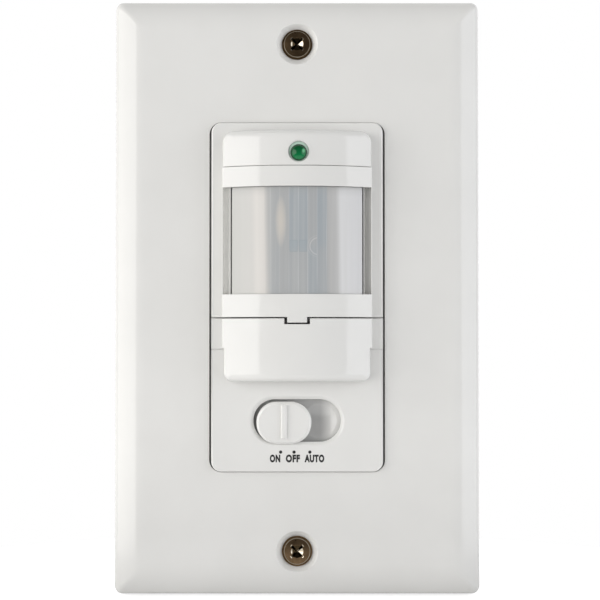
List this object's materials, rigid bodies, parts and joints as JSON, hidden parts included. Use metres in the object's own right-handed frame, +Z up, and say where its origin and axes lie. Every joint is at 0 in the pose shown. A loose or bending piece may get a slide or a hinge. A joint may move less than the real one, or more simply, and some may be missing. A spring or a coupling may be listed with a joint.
{
  "type": "motion sensor light switch",
  "caption": "Wall light switch with a motion sensor: cover plate, curved segmented lens, indicator, hinged adjuster door and a three-position slide.",
  "frame": {"origin": "centre of the two box-screw holes, on the strap's back face, which is the wall plane", "axes": "+X to the right seen from the room, +Y into the wall, +Z up; the front faces -Y"},
  "size_m": [0.0706, 0.0439, 0.1142],
  "materials": {
    "plate_white": "glossy moulded",
    "bezel_white": "glossy moulded",
    "lens_grey": "translucent, segmented",
    "screw_nickel": "dark nickel",
    "zinc_steel": "zinc plated",
    "rear_charcoal": "fine texture",
    "board_green": "solder mask",
    "contact_brass": "bright",
    "led_green": "clear coloured",
    "ground_green": "green dye",
    "sensor_can": "tinned",
    "sensor_filter": "polished",
    "cell_amber": "coated",
    "part_black": "moulded",
    "part_blue": "moulded",
    "part_yellow": "moulded",
    "part_tan": "coated",
    "dial_ivory": "moulded"
  },
  "bodies": {
    "switch_base": {"wall_plate": "plate_white", "plate_screws": "screw_nickel", "mounting_strap": "zinc_steel", "front_bezel": "bezel_white", "sensor_cap": "bezel_white", "lens_frame": "bezel_white", "sensor_lens": "lens_grey", "status_led": "led_green", "led_leads": "zinc_steel", "pir_sensor": "sensor_can", "pir_window": "sensor_filter", "light_cell": "cell_amber", "control_board": "board_green", "board_screws": "zinc_steel", "trimmer_bodies": "part_blue", "switch_body": "part_black", "switch_contacts": "contact_brass", "power_board": "board_green", "relay": "part_black", "film_capacitor": "part_yellow", "filter_capacitor": "part_black", "surge_arrester": "part_blue", "dropper_resistor": "part_tan", "board_link": "zinc_steel", "rear_body": "rear_charcoal", "assembly_screws": "zinc_steel", "terminal_plates": "contact_brass", "terminal_screws": "contact_brass", "ground_screw": "ground_green", "hinge_pins": "zinc_steel"},
    "adjuster_door": {"adjuster_door": "bezel_white"},
    "time_dial": {"time_dial": "dial_ivory"},
    "light_dial": {"light_dial": "dial_ivory"},
    "range_dial": {"range_dial": "dial_ivory"},
    "mode_slider": {"slide_knob": "bezel_white", "switch_slider": "part_black", "contact_bridge": "contact_brass"}
  },
  "joints": [
    {"name": "mode_slide", "type": "slide", "parent": "switch_base", "child": "mode_slider", "axis": [1, 0, 0], "range_m": [0, 0.005]},
    {"name": "door_hinge", "type": "hinge", "parent": "switch_base", "child": "adjuster_door", "pos_m": [0, -0.008, -0.0152], "axis": [1, 0, 0], "range_deg": [0, 80]},
    {"name": "time_turn", "type": "hinge", "parent": "switch_base", "child": "time_dial", "pos_m": [-0.0084, -0.006, -0.0094], "axis": [0, -1, 0], "range_deg": [-135, 135]},
    {"name": "light_turn", "type": "hinge", "parent": "switch_base", "child": "light_dial", "pos_m": [0, -0.006, -0.0094], "axis": [0, -1, 0], "range_deg": [-135, 135]},
    {"name": "range_turn", "type": "hinge", "parent": "switch_base", "child": "range_dial", "pos_m": [0.0084, -0.006, -0.0094], "axis": [0, -1, 0], "range_deg": [-135, 135]}
  ]
}
